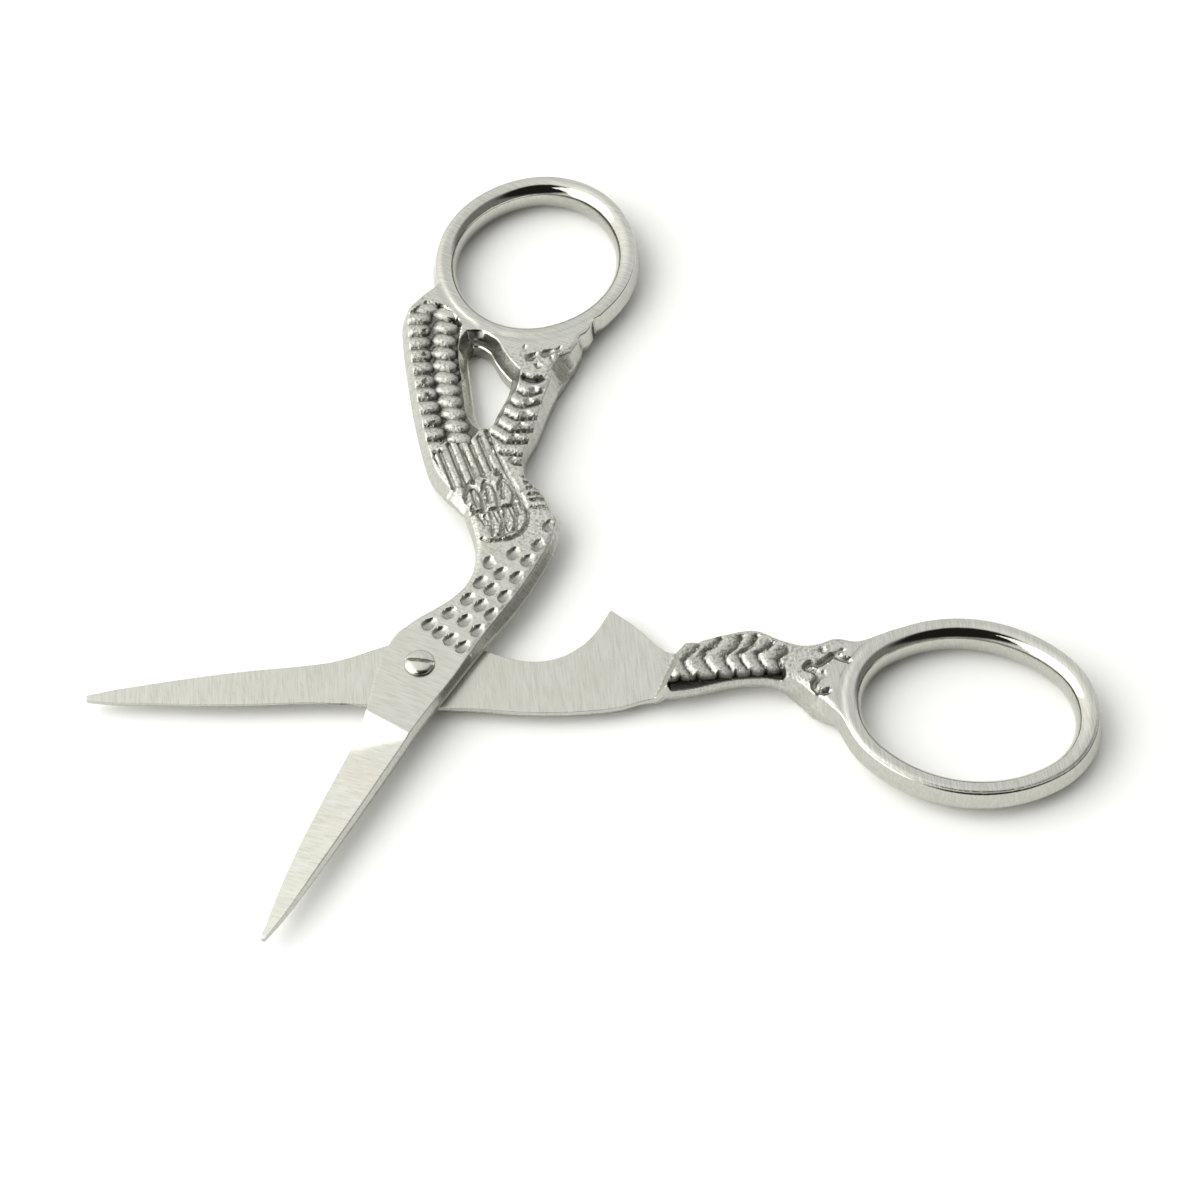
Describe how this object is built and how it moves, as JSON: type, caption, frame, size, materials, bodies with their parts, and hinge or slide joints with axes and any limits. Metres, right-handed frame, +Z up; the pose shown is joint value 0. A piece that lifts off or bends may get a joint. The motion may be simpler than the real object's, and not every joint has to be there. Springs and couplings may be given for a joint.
{
  "type": "embroidery scissors",
  "caption": "Small scissors shaped as a stork, two crossing forged halves with pointed blades and oval finger bows turning on a slotted pivot screw.",
  "frame": {"origin": "on the resting plane, under the pivot axis", "axes": "+Z up along the pivot axis, +X from the pivot towards the breast half's bow, so its blade points along -X"},
  "size_m": [0.0916, 0.0864, 0.0041],
  "materials": {
    "stork_steel": "satin, with polished finger holes",
    "breast_steel": "satin, with a brushed inner face",
    "screw_steel": "satin"
  },
  "bodies": {
    "breast_side": {"breast_half": "breast_steel", "pivot_screw": "screw_steel"},
    "stork_side": {"stork_half": "stork_steel"}
  },
  "joints": [
    {"name": "blade_pivot", "type": "hinge", "parent": "breast_side", "child": "stork_side", "pos_m": [0, 0, 0.00175], "axis": [0, 0, 1], "range_deg": [-60, 80]}
  ]
}
